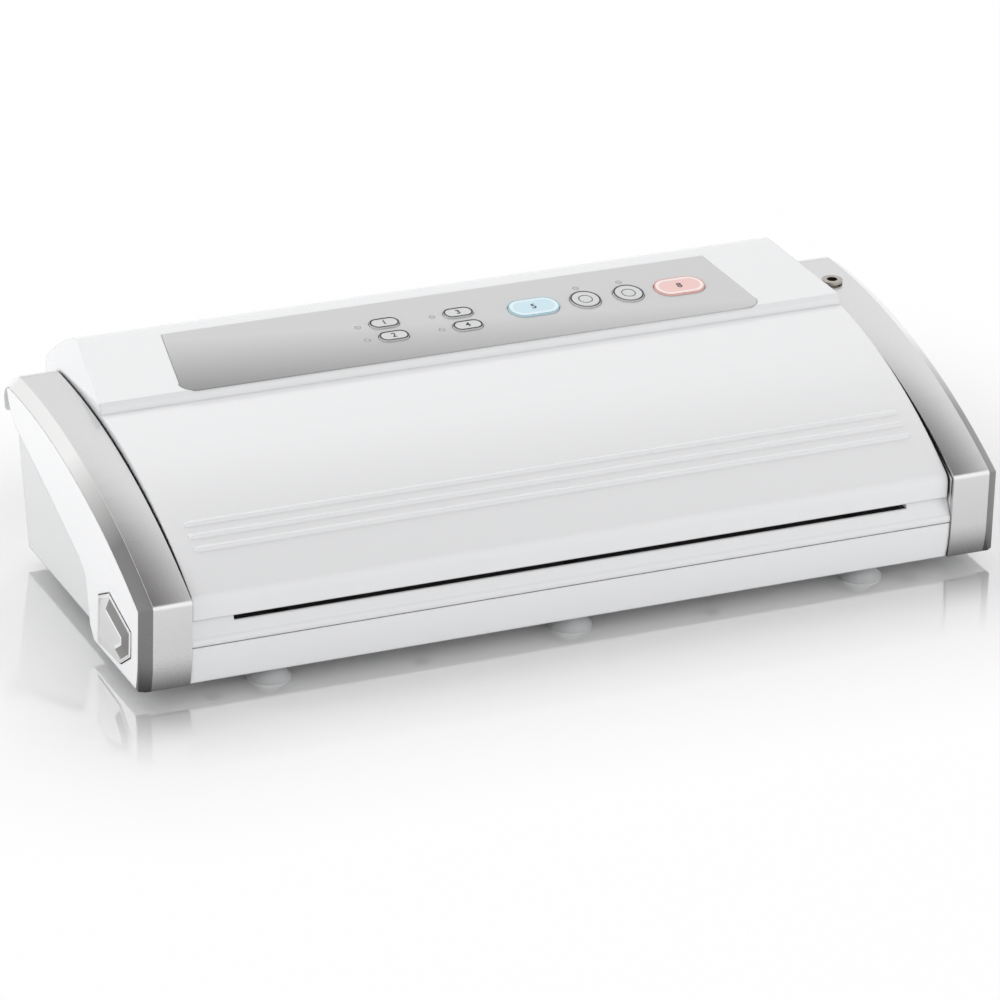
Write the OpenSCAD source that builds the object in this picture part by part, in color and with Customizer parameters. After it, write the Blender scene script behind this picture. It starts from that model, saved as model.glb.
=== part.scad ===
// Countertop vacuum sealer with a rear-hinged lid between two arched end towers.
// Millimetres, +Z up, front faces -Y, origin under the middle of the bounding box.

/* [Body] */
// Overall width across the two end covers
body_w = 420; // [380:1:460]
// Overall depth, from the tower fronts to the back of the lid
body_d = 188; // [180:1:200]
// Height of the underside above the table
under_z = 6.5; // [5:0.5:9]
// Wall thickness of the white mouldings
wall = 2.5; // [2:0.1:3]
// Height of the seam between the front panel and the sill
seam_z = 24.5; // [22:0.5:27]
// Visible gap at the seams between fixed mouldings
seam = 0.2; // [0.1:0.05:0.4]

/* [End towers] */
// Width of the flat silver strap
strap_w = 18; // [14:0.5:22]
// Width of the bevel along the outer edge of the strap
bevel_w = 5.6; // [3:0.1:7]
// Depth of that bevel
bevel_d = 3.8; // [2:0.1:4]
// Height of the top of the arch
crest_z = 87.4; // [80:0.5:95]
// Distance of the top of the arch behind the front face
crest_y = 160; // [150:1:165]
// Radius of the arch along the strap
arch_r = 340; // [320:1:400]
// Radius of the strap's front top corner
corner_r = 3; // [2:0.5:5]
// Radius of the tower's rear top corner
rear_r = 12; // [8:0.5:16]
// Forward lean of the rear edge, in degrees
rear_lean = 14.4; // [8:0.2:18]
// Height at which the front face starts to curve back
bow_z = 22; // [18:1:30]
// Radius of that curve
bow_r = 60; // [45:1:80]
// Inset of the lower side panel behind the end cover
cheek_t = 6; // [5:0.25:8]

/* [Lid] */
// Running gap between the lid and each tower
lid_gap = 1.4; // [0.8:0.1:2]
// Distance of the lid's nose behind the tower fronts
nose_y = 3.5; // [3:0.5:6]
// Radius of the nose
nose_r = 6; // [4:0.5:8]
// Height of the lid's lower edge
lip_z = 36.3; // [35:0.1:38]
// Radius of the lid's slope
slope_r = 266; // [250:1:300]
// Distance of the slope's highest point behind the front
slope_y = 147.6; // [140:0.5:155]
// Height of the slope's highest point
slope_z = 88.6; // [86:0.2:92]
// Depth of the control face, from the crease to the back of the lid
face_d = 71; // [66:1:76]
// Tilt of the control face, in degrees
face_tilt = 7.8; // [4:0.2:12]
// Height of the control face just behind the crease
face_z = 91.3; // [90:0.1:94]
// Radius of the lid's rear top edge
hump_r = 14; // [8:0.5:16]
// Narrowing of the control face on each side, front to back
hump_taper = 11; // [6:0.5:16]
// Height of the raised beads on the slope
bead_h = 0.9; // [0.5:0.1:1.5]

/* [Hinge] */
// Distance of the hinge behind the front
hinge_y = 164; // [160:0.5:166]
// Height of the hinge
hinge_z = 64; // [62:0.5:68]
// Radius of the hinge pins
pin_r = 3; // [2.5:0.1:3.5]
// Running clearance of the pins in the lid
pin_clear = 0.08; // [0.05:0.01:0.1]

/* [Sealing deck] */
// Distance from each end of the bag slot to the tower
slot_end = 21.4; // [20:0.2:30]
// Depth of the bag slot in the deck
slot_d = 2.8; // [2:0.1:3.5]
// Distance of the sealing bar behind the front
bar_y = 22; // [18:0.5:26]
// Width of the sealing bar
bar_w = 12; // [8:0.5:14]
// Distance of the middle of the trough behind the front
trough_y = 65; // [60:1:68]
// Size of the trough, front to back
trough_l = 34; // [26:1:40]
// Depth of the trough
trough_d = 9; // [6:0.5:12]
// Width of the foam gaskets
gasket_w = 8; // [6:0.5:10]

/* [Keys] */
// Width of the small keys
pill_w = 14.5; // [12:0.5:18]
// Height of the small keys
pill_h = 8; // [7:0.5:10]
// Width of the two large keys
wide_w = 25; // [22:0.5:30]
// Height of the two large keys
wide_h = 14.4; // [12:0.4:17]
// Diameter of the round keys
round_d = 14.8; // [12:0.2:17]
// Travel of the keys
key_travel = 0.6; // [0.4:0.1:0.8]
// Clearance round each key
key_clear = 0.35; // [0.2:0.05:0.5]

/* [Release buttons] */
// Travel of the release buttons
press_travel = 3; // [2:0.25:3]
// Distance that the buttons stand out of the end covers
press_proud = 2; // [1:0.25:3]

/* [Feet and port] */
// Diameter of the suction feet
foot_d = 20; // [16:0.5:24]
// Distance of the outer feet from the sides
foot_inset = 64; // [58:1:80]
// Bore of the accessory port
port_bore = 5; // [4:0.25:6]
// Outer diameter of the port's collar
port_d = 10; // [8.5:0.25:12]
// Distance of the port behind the front
port_y = 142; // [130:1:150]

/* [Hidden] */
$fn = 48;

white = "#f3f3f1";
silver = "#b4b6b8";
dark = "#2e2f31";

half_w = body_w / 2;
strap_out = half_w - bevel_w;            // outer edge of the flat strap
strap_in = strap_out - strap_w;          // inner face of each tower
panel_x = half_w - cheek_t;              // face of the lower side panels
arch_z = crest_z - arch_r;               // centre height of the strap's arch
trim_t = wall;                           // thickness of the strap moulding
rim_d = bevel_d + 0.5;                   // depth of the strap's outer rim
floor_z = under_z + wall;                // inner face of the tray's floor
rear_top = crest_z - rear_r;             // centre height of the rear top corner
rear_mid = crest_y + 7;                  // and its distance behind the front
cover_z = 58;                            // top of the pump cover
cover_y = 103.5;                         // front of the pump cover
panel_top = 44.5;                          // top of the rear panel
deck_z = lip_z - 0.3;                    // top of the deck beside the slot
shelf_z = deck_z - slot_d;               // floor of the bag slot
slot_w = 2 * (strap_in - slot_end);      // width of the bag slot
nozzle_x = 60;                           // middle of the air nozzle
foot_x = half_w - foot_inset;            // middle of the outer feet
screw_x = half_w - 38;                   // middle of the outer screws
deck_t = 4;                              // thickness of the deck
deck_x = strap_in - seam;                // half width of what lies between the towers
lid_x = strap_in - lid_gap;              // half width of the lid
liner_x = lid_x - wall - seam;           // half width of the lid's liner
slope_c = slope_z - slope_r;             // centre height of the lid's slope
gasket_x = slot_w / 2 - 3;               // half width over the gaskets
gasket_l = trough_l + 2 * gasket_w + 4;  // size of the gaskets, front to back
bar_x = slot_w / 2 - 8;                  // half length of the sealing bar
hinge_reach = body_d - hinge_y;          // hinge to the back of the lid
crease_y = body_d - face_d;              // crease between slope and control face
latch_y = 30;                            // middle of the latches
latch_z = 24.5;                          // underside of the latches
latch_t = 2.5;                           // thickness of the latches
striker_x = strap_in - 12.9;             // inner face of the striker's stem
liner_screws = [for (x = [70 - half_w, 0, half_w - 70], y = [12.5, 96]) [x, y]];
pump_x = 13;                             // left side of the pump head
pump_y = 129;                            // middle of the pump
pump_z = 24;
hose_r = 2.6;
port_x = strap_in + wall + port_bore / 2 + 1.4; // middle of the accessory port
inlet_x = 90 - half_w;                          // middle of the mains inlet
inlet_z = 24;
board_in = 110 - half_w;                        // end of the power board beside the transformer
board_out = pump_x - 63;                        // and beside the pump
foot_front = 11;                         // front row of feet
foot_rear = 146;                         // rear row of feet
screw_spots = [[-screw_x, 12], [-72, 12], [72, 12], [screw_x, 12], [-screw_x, 150], [-60, 150], [60, 150],
  [screw_x, 150]];
boss_top = 21;                           // top of the screw bosses

// Corners of the release button's face, as distance behind the front and height
press_face = [[13, 19], [25, 10.5], [53, 8.5], [53, 31], [39.5, 38], [13, 31]];
// Lower edge of the end cover, from its rear tip to the front
cheek_edge = [[174, 90], [171.5, 81], [167.5, 73.5], [159.6, 67], [118.8, 53.6], [76.7, 38.1], [70.5, 33.5],
  [67, 24], [63.6, 12], [58.5, under_z], [0, under_z], [0, 90]];

// Small keys, large keys and lights on the control face: x, distance up the face
small_keys = [[-33.8, 31.4], [-33.8, 19.6], [3, 31], [3, 19.3]];
light_spots = [[-47, 31.4], [-47, 19.6], [-10, 31], [-10, 19.3], [65.6, 37.4], [87.6, 37.2]];
seal_key = [39.3, 26.4];
pulse_key = [65.6, 26.2];
marinate_key = [87.6, 26.1];
manual_key = [113.8, 26];
overlay_w = 289;                         // width of the overlay at its lower edge
overlay_top = 273;                       // width at its upper edge
overlay_h = 49.5;
overlay_t = 0.6;

function arc(cy, cz, r, from, to, n) =
  [for (i = [0:n]) let (a = from + (to - from) * i / n) [cy + r * cos(a), cz + r * sin(a)]];

// Rear edge of the housing at height z
function rear_at(z) = rear_mid + rear_r / cos(rear_lean) + (z - rear_top) * tan(rear_lean);

// Side outline of a tower, drawn in by d from its top, front and rear
function tower_outline(d) =
  let (
    bow_end = 180 + asin((bow_z - under_z) / (bow_r - d)),
    k = max(corner_r - d, 0.3),
    ky = d + k,
    kz = arch_z + sqrt(pow(arch_r - d - k, 2) - pow(crest_y - ky, 2)),
    front_a = atan2(kz - arch_z, ky - crest_y),
    rear_a = atan2(rear_top - arch_z, rear_mid - crest_y)
  )
  concat(
    arc(bow_r, bow_z, bow_r - d, bow_end, 180, 6),
    arc(ky, kz, k, 180, front_a, 5),
    arc(crest_y, arch_z, arch_r - d, front_a, rear_a, 18),
    arc(rear_mid, rear_top, rear_r - d, rear_a, -rear_lean, 8),
    [[rear_at(under_z) - d / cos(rear_lean), under_z]]
  );

function slope_at(y, d = 0) = slope_c + sqrt(pow(slope_r - d, 2) - pow(slope_y - y, 2));
function face_at(y) = face_z + (y - crease_y - 2) * tan(face_tilt);

// Upper outline of the lid from the lip to the rear edge, drawn in by d
function lid_line(d) =
  let (
    ny = nose_y + nose_r,
    nz = slope_c + sqrt(pow(slope_r - nose_r, 2) - pow(slope_y - ny, 2)),
    nose_a = atan2(nz - slope_c, ny - slope_y),
    crease_a = atan2(slope_at(crease_y, d) - slope_c, crease_y + 0.3 * d - slope_y),
    hy = body_d - hump_r,
    hz = face_at(hy - hump_r * sin(face_tilt)) - hump_r * cos(face_tilt)
  )
  concat(
    arc(ny, nz, nose_r - d, 180, nose_a, 6),
    arc(slope_y, slope_c, slope_r - d, nose_a, crease_a, 16),
    [[crease_y + 0.6 + 0.4 * d, slope_at(crease_y, d) + 1.2], [crease_y + 1.2 + 0.5 * d, face_z - 1.3 - d],
      [crease_y + 2.6 + 0.4 * d, face_at(crease_y + 2.6) - d / cos(face_tilt)]],
    arc(hy, hz, hump_r - d, 90 + face_tilt, 0, 7),
    arc(hinge_y, hinge_z, hinge_reach - d, 0, -8, 2)
  );

module from_front() translate([0, -body_d / 2, 0]) children();
// Extrudes an outline of (y, z) points from x0 to x1
module along_x(x0, x1) translate([x0, 0, 0]) rotate([90, 0, 90]) linear_extrude(x1 - x0) children();
module mid_x(w) along_x(-w / 2, w / 2) children();
module left_side() mirror([1, 0, 0]) children();
module block(x0, x1, y0, y1, z0, z1) translate([x0, y0, z0]) cube([x1 - x0, y1 - y0, z1 - z0]);

// Flat shape with straight sides and round ends, w wide and h high
module pill(w, h) {
  square([w - h, h], center = true);
  for (side = [-1, 1]) translate([side * (w - h) / 2, 0]) circle(d = h);
}
module round_rect(w, l, r) {
  square([w - 2 * r, l], center = true);
  square([w, l - 2 * r], center = true);
  for (i = [-1, 1], j = [-1, 1]) translate([i * (w / 2 - r), j * (l / 2 - r)]) circle(r);
}
module frame_rect(w, l, band, r) {
  difference() {
    round_rect(w, l, r);
    round_rect(w - 2 * band, l - 2 * band, max(r - band, 0.5));
  }
}
// Places a flat shape on the control face, local z square to the face
module on_face(x, s) {
  translate([x, crease_y + 2 + s * cos(face_tilt), face_z + s * sin(face_tilt)])
    rotate([face_tilt, 0, 0]) children();
}
// Runs a hose of radius r through a list of points
module hose(path, r) {
  sides = 6;
  last = len(path) - 1;
  function heading(i) =
    let (a = path[min(i + 1, last)] - path[max(i - 1, 0)]) a / norm(a);
  function across(i) = let (c = cross(heading(i), [0.31, 0.17, 0.94])) c / norm(c);
  points = [for (i = [0:last], j = [0:sides - 1])
    let (u = across(i), v = cross(heading(i), u), a = 360 * j / sides)
    path[i] + r * (u * cos(a) + v * sin(a))];
  polyhedron(points, concat(
    [[for (j = [0:sides - 1]) j]],
    [for (i = [0:last - 1], j = [0:sides - 1], half = [0, 1]) let (k = (j + 1) % sides, n = i * sides)
      half == 0 ? [n + j, n + sides + j, n + sides + k] : [n + j, n + sides + k, n + k]],
    [[for (j = [sides - 1:-1:0]) last * sides + j]]
  ));
}

// ---- fixed housing ----

module tower_walls() {
  lift = trim_t + 0.1;
  inner = (lift + wall) / cos(rear_lean);
  difference() {
    along_x(strap_in, panel_x) polygon(tower_outline(lift));
    // open in front and above, where the strap closes it
    along_x(strap_in + wall, panel_x - wall) polygon([[-9, floor_z], [-9, 120], [rear_at(rear_top) - inner, 120],
      [rear_at(rear_top) - inner, rear_top], [rear_at(floor_z) - inner, floor_z]]);
    block(panel_x - wall - 1, panel_x + 1, press_face[0][0] - 2.4, press_face[2][0] + 2.4, floor_z, press_face[4][1] + 1);
    translate([strap_in - 1, hinge_y, hinge_z]) rotate([0, 90, 0]) cylinder(r = pin_r + 0.02, h = wall + 2);
    block(strap_in - 1, strap_in + wall + 1, latch_y - 6.6, latch_y + 6.6, latch_z - 0.6, latch_z + latch_t + 0.6);
  }
}
module tray_front() {
  intersection() {
    difference() {
      polygon(tower_outline(1.2));
      polygon(tower_outline(1.2 + wall));
    }
    square([30, seam_z - seam]);
  }
}
module base_tray() color(white) from_front() {
  difference() {
    union() {
      mid_x(2 * deck_x) polygon([[6, under_z], [20, under_z], [20, floor_z], [6, floor_z]]);
      mid_x(2 * strap_in + 2) polygon([[9, under_z], [rear_at(under_z), under_z],
        [rear_at(floor_z), floor_z], [9, floor_z]]);
      mid_x(2 * deck_x) tray_front();
      for (spot = screw_spots) translate([spot[0], spot[1], under_z]) cylinder(r = 4, h = boss_top - under_z);
      for (x = [-foot_x, 0, foot_x], y = [foot_front, foot_rear])
        translate([x, y, under_z]) cylinder(r = 6.6, h = 4);
      for (x = [-110, 110]) block(x - 1, x + 1, 5, 100, under_z, boss_top);
    }
    for (spot = screw_spots) translate([spot[0], spot[1], under_z]) {
      translate([0, 0, -1]) cylinder(r = 3.6, h = 2.8);
      translate([0, 0, -1]) cylinder(r = 1.6, h = 40);
    }
    for (x = [-foot_x, 0, foot_x], y = [foot_front, foot_rear])
      translate([x, y, under_z]) {
        translate([0, 0, -1]) cylinder(r = 3.1, h = 8);
        translate([0, 0, wall]) cylinder(r = 4.6, h = 8);
      }
    for (i = [-4:4]) translate([78 + i * 6, 80, under_z - 1]) linear_extrude(wall + 2) rotate(90) pill(34, 3);
  }
  difference() {
    tower_walls();
    hose_hole();
  }
  left_side() tower_walls();
}
// Way for the port's hose through the right tower
module hose_hole() translate([deck_x - wall - 1, 140, 40]) rotate([0, 90, 0]) cylinder(r = 7, h = 2 * wall + 3);

module sill_outline(top) {
  polygon(concat([[1.4, seam_z]], arc(3.2, seam_z + 2, 2.2, 180, 125, 4),
    [[6.2, top], [cover_y - seam, top], [cover_y - seam, top - deck_t], [8.6, top - deck_t], [5, seam_z]]));
}
module deck() color(white) from_front() {
  shelf_y = trough_y - trough_l / 2;
  difference() {
    union() {
      mid_x(2 * deck_x) sill_outline(deck_z);
      block(-slot_w / 2 - 3, slot_w / 2 + 3, 7.5, cover_y - seam, shelf_z - deck_t, deck_z - 1);
      translate([0, trough_y, shelf_z - trough_d - wall])
        linear_extrude(trough_d + wall) round_rect(2 * gasket_x - 14, trough_l + 2 * wall, 8);
    }
    // bag slot, open to the front
    block(-slot_w / 2, slot_w / 2, -1, cover_y - 6, shelf_z, deck_z + 5);
    translate([0, trough_y, shelf_z - trough_d])
      linear_extrude(trough_d + 20) round_rect(2 * gasket_x - 14 - 2 * wall, trough_l, 6);
    translate([0, trough_y, shelf_z - 2])
      linear_extrude(9) frame_rect(2 * gasket_x + 0.2, gasket_l + 0.2, gasket_w + 0.2, 9);
    block(-bar_x - 0.2, bar_x + 0.2, bar_y - bar_w / 2 - 0.1, bar_y + bar_w / 2 + 0.1, shelf_z - 2.2, deck_z);
    translate([nozzle_x, trough_y, shelf_z - trough_d - 5]) cylinder(r = 3.05, h = 12);
    for (side = [-1, 1]) translate([side * (striker_x + 0.6), latch_y - 1.5, deck_z])
      cube([8.8, 14, 20], center = true);
  }
}
module pump_cover() color(white) from_front() {
  back = rear_at(panel_top) - seam;
  edge = deck_z - deck_t;
  difference() {
    mid_x(2 * deck_x) polygon([[cover_y, edge], [cover_y, cover_z - 3], [cover_y + 3, cover_z],
      [hinge_y - 9, cover_z], [back, panel_top + seam], [back - wall - 2, panel_top + seam],
      [hinge_y - 10, cover_z - wall], [cover_y + 4, cover_z - wall], [cover_y + wall, cover_z - 4],
      [cover_y + wall, edge]]);
    for (i = [-5:5]) translate([-110 + i * 7, 130, cover_z - 5]) linear_extrude(8) rotate(90) pill(22, 3);
  }
  for (side = [0, 1]) mirror([side, 0, 0]) difference() {
    block(deck_x - wall, deck_x, cover_y + 1, hinge_y - 10, edge, cover_z - 1);
    if (side == 0) hose_hole();
  }
}
// Places a piece on the leaning rear face, local y pointing out of it
module on_rear(x, z) translate([x, rear_at(z), z]) rotate([-rear_lean, 0, 0]) children();
module rear_panel() color(white) from_front() {
  bottom = floor_z + seam;
  inner = wall / cos(rear_lean);
  difference() {
    union() {
      mid_x(2 * deck_x) polygon([[rear_at(bottom), bottom], [rear_at(panel_top), panel_top],
        [rear_at(panel_top) - inner, panel_top], [rear_at(bottom) - inner, bottom]]);
      for (x = [47 - half_w, -90, 15, 105, half_w - 47]) along_x(x - 1, x + 1) polygon([[rear_at(bottom) - inner - 7, bottom],
        [rear_at(bottom) - 1, bottom], [rear_at(30) - 1, 30], [rear_at(30) - inner - 1, 30]]);
    }
    on_rear(inlet_x, inlet_z) cube([24.4, 20, 14.4], center = true);
    for (i = [-6:6]) on_rear(60 + i * 7, 26) translate([0, 9, 0]) rotate([90, 0, 0])
      linear_extrude(18) rotate(90) pill(20, 3);
  }
}

// ---- silver straps and white end covers ----

module bevel_ring(cy, cz, r) {
  translate([0, cy, cz]) rotate([0, 90, 0]) rotate_extrude($fn = 180)
    polygon([[r + 0.001, strap_out], [r + 8, strap_out], [r + 8, half_w + 1],
      [r - bevel_d * (bevel_w + 1) / bevel_w, half_w + 1]]);
}
module end_trim() {
  difference() {
    union() {
      along_x(strap_in, half_w) trim_band(trim_t);
      along_x(strap_out + 0.4, half_w) trim_band(rim_d);
    }
    intersection() {
      bevel_ring(crest_y, arch_z, arch_r);
      block(0, half_w + 9, -9, rear_mid, 20, 120);
    }
    intersection() {
      bevel_ring(rear_mid, rear_top, rear_r);
      block(0, half_w + 9, rear_mid, 220, 20, 120);
    }
    translate([0, 0, -1]) linear_extrude(90)
      polygon([[strap_out, -0.001], [strap_out, -9], [half_w + 1, -9],
        [half_w + 1, bevel_d * (bevel_w + 1) / bevel_w]]);
  }
}
module trim_band(t) {
  difference() {
    polygon(tower_outline(0));
    polygon(tower_outline(t));
    translate([11, 0]) square([200, floor_z + 1]);
    translate([crest_y - 4, 0]) square([60, rear_top - 6]);
  }
}
module left_trim() color(silver) from_front() left_side() end_trim();
module right_trim() color(silver) from_front() difference() {
  end_trim();
  translate([port_x, port_y, crest_z - 30]) cylinder(d = port_bore + 2.8, h = 50);
}

module cheek_face(d) {
  intersection() {
    polygon(tower_outline(rim_d + seam + d));
    offset(delta = -d) polygon(cheek_edge);
  }
}
module end_cover() {
  difference() {
    along_x(panel_x + 0.1, half_w) cheek_face(0);
    along_x(panel_x - 1, half_w - wall) cheek_face(wall);
    along_x(panel_x - 1, half_w + 1) offset(delta = 0.5) polygon(press_face);
  }
}
module left_end_cover() color(white) from_front() left_side() end_cover();
module right_end_cover() color(white) from_front() end_cover();

// ---- sealing parts on the deck ----

module sealing_bar() color("#8c8f92") from_front() {
  block(-bar_x, bar_x, bar_y - bar_w / 2, bar_y + bar_w / 2, shelf_z - 2.2, shelf_z + 1.2);
}
module heating_strip() color("#c9b27a") from_front() {
  top = shelf_z + 1.2;
  block(-bar_x + 4, bar_x - 4, bar_y - 1.6, bar_y + 1.6, top, top + 0.15);
}
module release_tape() color("#a98b5b") from_front() {
  top = shelf_z + 1.35;
  block(-bar_x + 1, bar_x - 1, bar_y - 5, bar_y + 5, top, top + 0.15);
}
module lower_gasket() color("#3a3c3e") from_front() {
  translate([0, trough_y, shelf_z - 2]) linear_extrude(4.1) frame_rect(2 * gasket_x, gasket_l, gasket_w, 9);
}

// ---- vacuum system ----

module chamber_nozzle() color(dark) from_front() translate([nozzle_x, trough_y, 0]) {
  bottom = shelf_z - trough_d;
  difference() {
    union() {
      translate([0, 0, bottom - 9]) cylinder(r = 3, h = 12);
      translate([0, 0, bottom]) cylinder(r = 5, h = 1.5);
    }
    translate([0, 0, bottom - 10]) cylinder(r = 1.5, h = 20);
  }
}
chamber_path = [[nozzle_x, trough_y, 15], [nozzle_x, trough_y, 13.5], [nozzle_x + 0.6, trough_y + 2, 12.4],
  [nozzle_x + 2, trough_y + 6, 12.2],
  [60, 84, 12.2], [52, 96, 12.4], [40, 106, 14], [31, 109.1, 21], [28, 109.1, 32], [27, 109.6, 41],
  [27, 112, 47], [27, 115.6, 48.4], [27, 117, 46], [27, 117, 43.2]];
module chamber_hose() color("#dfe3e4") from_front() hose(chamber_path, hose_r);
module pump_head() color("#3d4043") from_front() translate([pump_x, pump_y, 0]) {
  difference() {
    union() {
      block(0, 32, -17, 17, floor_z + seam, 38);
      for (x = [8, 24]) translate([x, 0, 38]) cylinder(r = 6, h = 3);
    }
    translate([-1, 0, pump_z]) rotate([0, 90, 0]) cylinder(r = 5, h = 12);
  }
  for (x = [14, 26]) translate([x, -12, 34]) cylinder(r = 1.9, h = 9);
}
module pump_motor() color("#9a9da0") from_front() translate([pump_x, pump_y, pump_z]) rotate([0, -90, 0]) {
  translate([0, 0, seam]) cylinder(r = 13.5, h = 46);
  translate([0, 0, 46]) cylinder(r = 5, h = 3);
  translate([0, 0, -9]) cylinder(r = 1.6, h = 10);
  translate([0, 0, 49]) cylinder(r = 1.6, h = 3);
}
module solenoid_valve() color("#26486b") from_front() {
  block(72, 94, 118, 138, floor_z + seam, 33);
  translate([83, 128, 33]) cylinder(r = 8, h = 6);
  for (y = [122, 134]) translate([94, y, 24]) rotate([0, 90, 0]) cylinder(r = 1.9, h = 7);
}
// The hose's run along the floor, spread between the valve and the foot of its rise beside the port
function run_x(x) = 106 + (x - 106) * (port_x - 20.8 - 106) / 66;
port_path = [[101.3, 134, 24], [106, 134, 24], [run_x(122), 135, 24], [run_x(142), 136, 24.5], [run_x(160), 137, 27],
  [port_x - 20.8, 138, 31.5], [port_x - 12.8, 139, 35], [port_x - 6.8, 140, 38.5],
  [port_x - 2.3, 141, 44], [port_x, port_y, 52], [port_x, port_y, 62], [port_x, port_y, 73]];
link_path = [[39, 117, 43.2], [39, 117, 46], [41, 117, 49], [47, 118, 51], [66, 121, 51], [90, 122, 50],
  [102, 122, 47], [108, 122, 40], [109.5, 122, 31], [107.5, 122, 25.2], [104.5, 122, 24], [101.3, 122, 24]];
module port_hose() color("#dfe3e4") from_front() {
  hose(port_path, hose_r);
  hose(link_path, hose_r);
}
module accessory_port() color(silver) from_front() translate([port_x, port_y, 0]) {
  top = arch_z + sqrt(pow(arch_r, 2) - pow(crest_y - port_y, 2));
  difference() {
    union() {
      translate([0, 0, 73.1]) cylinder(d = port_bore + 2.4, h = top - 73);
      translate([0, 0, top + 0.3]) cylinder(d = port_d, h = 1.2);
      translate([0, 0, top - 0.2]) cylinder(d = port_bore + 2.4, h = 1);
    }
    translate([0, 0, 60]) cylinder(d = port_bore, h = 40);
  }
}

// ---- electrics in the base ----

module transformer() color("#6d7074") from_front() {
  translate([73 - half_w, cover_y + wall + 0.6, 0]) {
    block(-23, 23, 0, 25.4, floor_z + seam, 41);
    block(-29, 29, 4.4, 20.4, 14, 36);
    for (x = [-30, 24]) block(x, x + 6, 5.4, 19.4, floor_z + seam, floor_z + 2.4);
  }
}
module power_board() color("#2f6b3f") from_front() {
  block(board_in, board_out, 107, 140, 12, 13.6);
  for (x = [board_in + 3, board_out - 3], y = [110, 137]) translate([x, y, floor_z]) cylinder(r = 2.5, h = 3.2);
  block(board_in + 6, board_in + 20, 111, 125, 13.6, 28);
  for (y = [118, 129]) translate([board_out - 16, y, 13.6]) cylinder(r = 4.5, h = 16);
  block(board_in + 10, board_in + 22, 128, 138, 13.6, 22);
}
module micro_switches() color(dark) from_front() for (side = [-1, 1]) {
  translate([side * (striker_x - 14), latch_y + 12, 22]) cube([20, 6.5, 10], center = true);
  translate([side * (striker_x - 14), latch_y + 12, 13.2]) cube([5, 5, 8.4], center = true);
}
module mains_inlet() color("#1d1e20") from_front() on_rear(inlet_x, inlet_z) {
  difference() {
    union() {
      translate([-12, -16, -7]) cube([24, 16.1, 14]);
      translate([-14, 0.05, -9]) cube([28, 1.5, 18]);
    }
    translate([0, -12, 0]) rotate([-90, 0, 0]) linear_extrude(20) pill(17, 8.6);
  }
}
module inlet_pins() color("#c7a860") from_front() on_rear(inlet_x, inlet_z)
  for (side = [-1, 1]) translate([side * 4.3, -12, 0]) rotate([-90, 0, 0]) cylinder(r = 1.2, h = 9);

// ---- pins, feet and screws ----

module hinge_pin() translate([0, hinge_y, hinge_z]) rotate([0, 90, 0]) {
  translate([0, 0, liner_x - 9]) cylinder(r = pin_r, h = strap_in + wall - liner_x + 9);
  translate([0, 0, strap_in + wall]) cylinder(r = pin_r + 2, h = 1.6);
}
module left_hinge_pin() color("#a7a9ac") from_front() left_side() hinge_pin();
module right_hinge_pin() color("#a7a9ac") from_front() hinge_pin();

module foot(x, y) color("#dfe2e2") from_front() translate([x, y, 0]) {
  rotate_extrude() polygon([[foot_d / 2, 0], [foot_d / 2, 0.8], [foot_d / 2 - 2.5, 3.2], [5, 5], [5, under_z],
    [3, under_z], [3, under_z + 2.6], [4, under_z + 3.4], [3, under_z + 5.6], [0, under_z + 5.6], [0, 2.4],
    [foot_d / 2 - 4, 1.2], [foot_d / 2 - 1.6, 0]]);
}
module front_left_foot() foot(-foot_x, foot_front);
module front_middle_foot() foot(0, foot_front);
module front_right_foot() foot(foot_x, foot_front);
module rear_left_foot() foot(-foot_x, foot_rear);
module rear_middle_foot() foot(0, foot_rear);
module rear_right_foot() foot(foot_x, foot_rear);

module screw(l) {
  cylinder(r = 1.5, h = l);
  difference() {
    cylinder(r = 3.2, h = 1.6);
    translate([0, 0, -0.1]) linear_extrude(0.9) { square([3.6, 0.8], center = true); square([0.8, 3.6], center = true); }
  }
}
module base_screws() color("#87898c") from_front()
  for (spot = screw_spots) translate([spot[0], spot[1], under_z + 0.15]) screw(12);

// ---- lid ----

function facet_corner() = [lid_x, crease_y, face_z - 0.3];
function facet_normal() =
  let (
    a = facet_corner(),
    b = [lid_x - hump_taper, body_d - 7, face_at(body_d - 7)],
    c = [lid_x, body_d - 7, crest_z - 0.2],
    n = cross(c - a, b - a)
  ) (n[0] > 0 ? n : -n) / norm(n);
// Everything outside the sloping end facet of the hump, moved in by d
module facet_cut(d) {
  n = facet_normal();
  translate(facet_corner() - n * d) rotate([0, acos(n[2]), atan2(n[1], n[0])])
    translate([-150, -150, 0]) cube([300, 300, 80]);
}
module lid_form(d) {
  difference() {
    mid_x(2 * (lid_x - d)) children();
    facet_cut(d);
    left_side() facet_cut(d);
  }
}
module key_window(grow) {
  for (spot = small_keys) on_face(spot[0], spot[1]) linear_extrude(20, center = true)
    pill(pill_w + 2 * grow, pill_h + 2 * grow);
  for (spot = [seal_key, manual_key]) on_face(spot[0], spot[1]) linear_extrude(20, center = true)
    pill(wide_w + 2 * grow, wide_h + 2 * grow);
  for (spot = [pulse_key, marinate_key]) on_face(spot[0], spot[1]) cylinder(d = round_d + 2 * grow, h = 20, center = true);
  for (spot = light_spots) on_face(spot[0], spot[1]) cylinder(r = 1.5, h = 20, center = true);
}
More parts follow.
